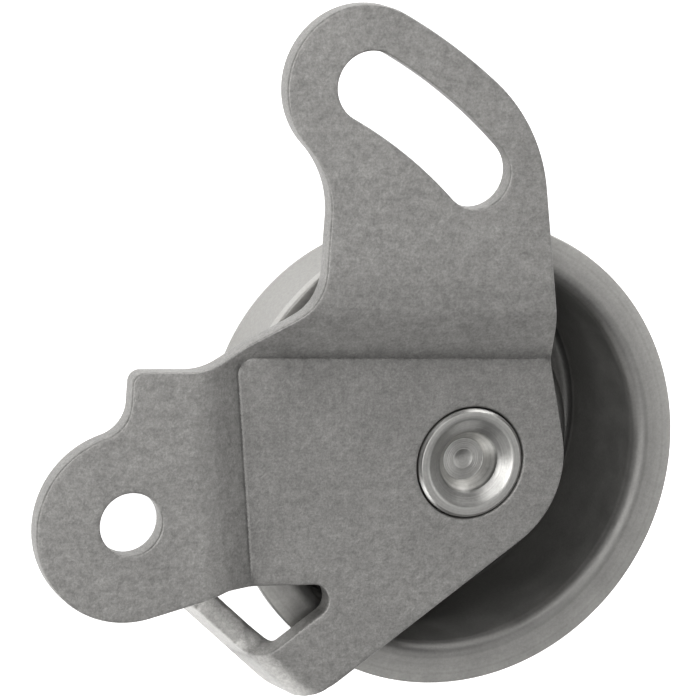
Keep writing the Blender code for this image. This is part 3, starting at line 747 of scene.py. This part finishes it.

# Painted shade and a painted highlight in the dish of the stud's end, by radius, and the height
# above which they hold
STUD_PAINTED_LIGHT_AND_SHADE = (
    (0.0, 0.68), (0.0012, 0.76), (0.0027, 0.76), (0.0030, 1.15), (0.0037, 1.10), (0.0040, 0.60),
    (0.0043, 0.60), (0.0046, 0.82), (0.0060, 0.90), (0.0064, 0.92),
)
STUD_PAINTED_LIGHT_AND_SHADE_HEIGHT = (0.0232, 0.0238)

# The usual span of a noise, which spread maps to a tone
NOISE_LOW, NOISE_HIGH = 0.3, 0.7


def tree_of(name):
    material = bpy.data.materials.new(name)
    material.use_nodes = True
    tree = material.node_tree
    return material, tree, tree.nodes["Principled BSDF"]


def add_node(tree, kind, values=(), links=(), output=0, **settings):
    """The output of a node with its settings, its fixed input values and its incoming links."""
    node = tree.nodes.new("ShaderNode" + kind)
    for key, value in settings.items():
        setattr(node, key, value)
    for key, value in dict(values).items():
        node.inputs[key].default_value = value
    for key, source in dict(links).items():
        tree.links.new(source, node.inputs[key])
    return node.outputs[output]


def place_of(tree, stretch=(1, 1, 1)):
    place = add_node(tree, "TexCoord", output="Object")
    return add_node(tree, "Mapping", {"Scale": stretch}, {"Vector": place})


def noise(tree, scale, detail, rough, stretch=(1, 1, 1)):
    values = {"Scale": scale, "Detail": detail, "Roughness": rough}
    return add_node(tree, "TexNoise", values, {"Vector": place_of(tree, stretch)})


def spread(tree, source, low, high):
    """Map a noise's usual span to low..high."""
    values = {"From Min": NOISE_LOW, "From Max": NOISE_HIGH, "To Min": low, "To Max": high}
    return add_node(tree, "MapRange", values, {"Value": source})


def calc(tree, operation, *operands):
    """A sum or the like of numbers and node outputs."""
    numbers = {i: v for i, v in enumerate(operands) if isinstance(v, (int, float))}
    outputs = {i: v for i, v in enumerate(operands) if i not in numbers}
    return add_node(tree, "Math", numbers, outputs, operation=operation)


def product(tree, first, *others):
    for factor in others:
        first = calc(tree, "MULTIPLY", first, factor)
    return first


def mixed(tree, first, second, share):
    """First where the share is 0, second where it is 1."""
    difference = calc(tree, "SUBTRACT", second, first)
    return calc(tree, "ADD", first, calc(tree, "MULTIPLY", difference, share))


def smooth_step(tree, value, span, start, end):
    """Smooth step of a value from start to end, over the span."""
    values = {"From Min": span[0], "From Max": span[1], "To Min": start, "To Max": end}
    return add_node(tree, "MapRange", values, {"Value": value}, interpolation_type="SMOOTHSTEP")


def curve(tree, value, stops):
    """A grey factor read from (value, factor) stops, straight between them."""
    low, high = stops[0][0], stops[-1][0]
    share = add_node(tree, "MapRange", {"From Min": low, "From Max": high}, {"Value": value})
    node = tree.nodes.new("ShaderNodeValToRGB")
    tree.links.new(share, node.inputs["Fac"])
    elements = node.color_ramp.elements
    peak = max(factor for _, factor in stops)
    for at, factor in stops:
        if at in (low, high):
            element = elements[0 if at == low else len(elements) - 1]
        else:
            element = elements.new((at - low) / (high - low))
        element.color = (factor / peak, factor / peak, factor / peak, 1)
    return calc(tree, "MULTIPLY", node.outputs["Color"], peak)


def along(tree, direction, origin=(0, 0, 0)):
    """Distance from the origin along a direction, both in object coordinates."""
    distance = add_node(
        tree, "VectorMath", {1: direction}, {0: place_of(tree)}, "Value", operation="DOT_PRODUCT"
    )
    return calc(tree, "SUBTRACT", distance, sum(a * b for a, b in zip(direction, origin)))


def radius_of(tree):
    """Distance from the pulley's axis."""
    flat = place_of(tree, (1, 1, 0))
    return add_node(tree, "VectorMath", {}, {0: flat}, "Value", operation="LENGTH")


def rings_of(tree, radius, scale):
    """Noise that varies with the radius alone."""
    values = {"Scale": scale, "Detail": 3.0}
    return add_node(tree, "TexNoise", values, {"W": radius}, noise_dimensions="1D")


def link_looks(tree, shader, color, tone, roughness, metallic, relief):
    """Link a colour times its tone, the roughness and a (height, strength, distance) relief."""
    grey = add_node(tree, "CombineXYZ", {}, {"X": tone, "Y": tone, "Z": tone})
    base = add_node(tree, "VectorMath", {1: color}, {0: grey}, operation="MULTIPLY")
    height, strength, distance = relief
    values = {"Strength": strength, "Distance": distance}
    tree.links.new(base, shader.inputs["Base Color"])
    tree.links.new(roughness, shader.inputs["Roughness"])
    tree.links.new(add_node(tree, "Bump", values, {"Height": height}), shader.inputs["Normal"])
    shader.inputs["Metallic"].default_value = metallic


def stamped_steel():
    """Tumbled sheet: fine grain, blotches and streaks, with painted shade along the creases,
    painted light just past them and painted light on the lug.
    """
    material, tree, shader = tree_of("stamped_steel_look")
    grain = noise(tree, scale=3000, detail=2, rough=0.8)
    mottle = noise(tree, scale=900, detail=3, rough=0.6)
    cloud = noise(tree, scale=140, detail=3, rough=0.55)
    streak = noise(tree, scale=1, detail=3, rough=0.6, stretch=(420, 2600, 900))
    surface = product(
        tree, spread(tree, grain, 0.80, 1.20), spread(tree, mottle, 0.84, 1.16),
        spread(tree, cloud, 0.94, 1.06), spread(tree, streak, 0.95, 1.05),
    )
    # Painted shade along both creases and on the plate below them, and painted light just past them
    meeting = (CREASE_MEETING[0] * MM, CREASE_MEETING[1] * MM, 0)
    up = along(tree, (0, 1, 0), meeting)
    left = along(tree, (*LEFTWARD, 0), meeting)
    upper_share = smooth_step(tree, left, UPPER_PAINTED_LIGHT_AND_SHADE_END, 1.0, 0.0)
    left_share = smooth_step(tree, up, LEFT_PAINTED_LIGHT_AND_SHADE_END, 1.0, 0.0)
    creases = product(
        tree, mixed(tree, 1.0, curve(tree, up, UPPER_PAINTED_LIGHT_AND_SHADE), upper_share),
        mixed(tree, 1.0, curve(tree, left, LEFT_PAINTED_LIGHT_AND_SHADE), left_share),
    )
    # Painted light on the lug's outer face, past its bend
    bend = (*BEND_POINT * MM, 0)
    past_bend = along(tree, (*BEND_OUTWARD, 0), bend)
    lug_painted_light = smooth_step(tree, past_bend, LUG_PAINTED_LIGHT_START, 1.0, LUG_PAINTED_LIGHT)
    beside = smooth_step(tree, along(tree, (*BEND_ALONG, 0), bend), LUG_PAINTED_LIGHT_SIDE, 0.0, 1.0)
    tone = product(tree, surface, creases, mixed(tree, lug_painted_light, 1.0, beside))
    height = calc(tree, "ADD", grain, calc(tree, "MULTIPLY", mottle, 2.0))
    roughness = spread(tree, mottle, 0.46, 0.60)
    relief = (height, 0.35, 0.0001)
    link_looks(tree, shader, STAMPED_COLOR, tone, roughness, SHEET_METALLIC, relief)
    return material


def drawn_steel():
    """Deep-drawn sheet with faint rings, dull, with painted shade inside the cup and on the mouth's
    rounding and a painted highlight towards the flange's rim.
    """
    material, tree, shader = tree_of("drawn_steel_look")
    grain = noise(tree, scale=2600, detail=3, rough=0.7)
    mottle = noise(tree, scale=300, detail=4, rough=0.6)
    radius = radius_of(tree)
    height = along(tree, (0, 0, 1))
    surface = product(
        tree, spread(tree, grain, 0.90, 1.10), spread(tree, mottle, 0.94, 1.06),
        spread(tree, rings_of(tree, radius, 1500), 0.94, 1.06),
    )
    front = calc(
        tree, "MAXIMUM", smooth_step(tree, height, CUP_FRONT_HEIGHT, 1.0, 0.0),
        smooth_step(tree, calc(tree, "SUBTRACT", radius, height), CUP_FRONT_CORNER, 0.0, 1.0),
    )
    below_flange = smooth_step(tree, height, CUP_FLANGE_HEIGHT, 1.0, 0.0)
    belt = smooth_step(tree, radius, CUP_BELT_RADIUS, 0.0, 1.0)
    outside = calc(tree, "MULTIPLY", below_flange, calc(tree, "MAXIMUM", front, belt))
    # Painted shade inside the cup and a painted highlight towards the flange's rim, kept off the
    # front and the belt surface
    tone = product(tree, surface, mixed(tree, curve(tree, radius, CUP_PAINTED_LIGHT_AND_SHADE), 1.0, outside))
    roughness = spread(tree, mottle, 0.42, 0.54)
    relief = (grain, 0.25, 0.00008)
    link_looks(tree, shader, DRAWN_COLOR, tone, roughness, SHEET_METALLIC, relief)
    return material


def turned_steel():
    """Turned surface: fine rings round the axis in tone, roughness and relief, with painted shade
    and a painted highlight in the dish of the stud's end.
    """
    material, tree, shader = tree_of("turned_steel_look")
    radius = radius_of(tree)
    rings = rings_of(tree, radius, 3600)
    grain = noise(tree, scale=2000, detail=3, rough=0.6)
    # Painted shade and a painted highlight in the stud's dish, by radius
    dish = smooth_step(tree, along(tree, (0, 0, 1)), STUD_PAINTED_LIGHT_AND_SHADE_HEIGHT, 0.0, 1.0)
    tone = product(
        tree, spread(tree, rings, 0.88, 1.12), spread(tree, grain, 0.92, 1.08),
        mixed(tree, 1.0, curve(tree, radius, STUD_PAINTED_LIGHT_AND_SHADE), dish),
    )
    roughness = spread(tree, rings, 0.32, 0.42)
    relief = (rings, 0.3, 0.00005)
    link_looks(tree, shader, TURNED_COLOR, tone, roughness, TURNED_METALLIC, relief)
    return material


def plain_finish(name, color, metallic, smoothest, roughest, scale, relief):
    material, tree, shader = tree_of(name)
    grain = noise(tree, scale, detail=4, rough=0.6)
    tone = spread(tree, grain, 0.93, 1.07)
    roughness = spread(tree, grain, smoothest, roughest)
    link_looks(tree, shader, color, tone, roughness, metallic, (grain, relief, 0.00005))
    return material


def paint(piece, material):
    piece.data.materials.clear()
    piece.data.materials.append(material)


TURNED = turned_steel()
RACE = plain_finish("bearing_steel_look", (0.6, 0.6, 0.61), 1.0, 0.14, 0.24, 1500, 0.1)
CAGE = plain_finish("cage_steel_look", (0.48, 0.46, 0.43), 0.9, 0.3, 0.42, 1800, 0.2)
RUBBER = plain_finish("seal_rubber_look", (0.03, 0.03, 0.03), 0.0, 0.5, 0.65, 1200, 0.3)
paint(BRACKET, stamped_steel())
paint(PULLEY, drawn_steel())
paint(STUD, TURNED)
for name, node in NODES.items():
    kind = RACE
    if "seal" in name:
        kind = RUBBER
    elif "cage" in name:
        kind = CAGE
    elif name == "spacer_sleeve":
        kind = TURNED
    for slot in node.material_slots:
        slot.material = kind


# Floor, lights and surround

FLOOR_HALF = 3.0
FLOOR_LEVEL = -0.0002  # just clear of the pulley's front
FLOOR_GREY = 0.85
FLOOR_ROUGHNESS = 0.9
FLOOR_GLOW = 0.85
LIGHT_TARGET = Vector((0, 0, 0.02))
PANELS = (  # name, heading, elevation, distance, size and power
    ("rear_right_low", 60, 12, 0.55, 0.30, 1.5),
    ("left_high", 182, 67, 0.55, 0.30, 1.55),
    ("front_left_low", 236, 14, 0.55, 0.30, 0.95),
    ("front_right_low", 300, 12, 0.55, 0.30, 0.2),
    ("right", 0, 40, 0.55, 0.30, 0.40),
    ("overhead_right", 0, 68, 0.55, 0.30, 0.2),
    ("overhead_front", 270, 68, 0.55, 0.30, 0.2),
    ("rear_left_near", 118, 50, 0.20, 0.12, 0.12),
)
SKY = ((0.05, 0.06), (0.45, 0.05))  # height of the direction, and the grey there


def add_floor():
    """A pale table, lit from below like a light box, so that only a faint shadow shows."""
    mesh = bpy.data.meshes.new("floor")
    corners = ((-1, -1), (1, -1), (1, 1), (-1, 1))
    mesh.from_pydata(
        [(x * FLOOR_HALF, y * FLOOR_HALF, FLOOR_LEVEL) for x, y in corners], [], [(0, 1, 2, 3)]
    )
    floor = bpy.data.objects.new("floor", mesh)
    bpy.context.scene.collection.objects.link(floor)
    material, _, shader = tree_of("floor")
    shader.inputs["Base Color"].default_value = (FLOOR_GREY, FLOOR_GREY, FLOOR_GREY, 1)
    shader.inputs["Roughness"].default_value = FLOOR_ROUGHNESS
    shader.inputs["Emission Color"].default_value = (1, 1, 1, 1)
    shader.inputs["Emission Strength"].default_value = FLOOR_GLOW
    mesh.materials.append(material)


def add_panel(name, heading, elevation, distance, size, power):
    """A round soft light, placed by heading and elevation in degrees and aimed at the part."""
    turn, rise = radians(heading), radians(elevation)
    level = distance * cos(rise)
    offset = Vector((level * cos(turn), level * sin(turn), distance * sin(rise)))
    data = bpy.data.lights.new(name, "AREA")
    data.shape = "DISK"
    data.size = size
    data.energy = power
    lamp = bpy.data.objects.new(name, data)
    lamp.location = offset + LIGHT_TARGET
    lamp.rotation_euler = (LIGHT_TARGET - lamp.location).to_track_quat("-Z", "Y").to_euler()
    bpy.context.scene.collection.objects.link(lamp)


def add_surround():
    """A dim grey room, a little lighter round the horizon."""
    world = bpy.data.worlds.new("studio")
    world.use_nodes = True
    tree = world.node_tree
    direction = add_node(tree, "TexCoord", output="Generated")
    height = add_node(tree, "SeparateXYZ", {}, {0: direction}, "Z")
    shade = tree.nodes.new("ShaderNodeValToRGB")
    for element, (at, grey) in zip(shade.color_ramp.elements, SKY):
        element.position = at
        element.color = (grey, grey, grey, 1)
    tree.links.new(height, shade.inputs["Fac"])
    tree.links.new(shade.outputs["Color"], tree.nodes["Background"].inputs["Color"])
    bpy.context.scene.world = world


add_floor()
for panel in PANELS:
    add_panel(*panel)
add_surround()
bpy.context.scene.view_settings.view_transform = "Standard"
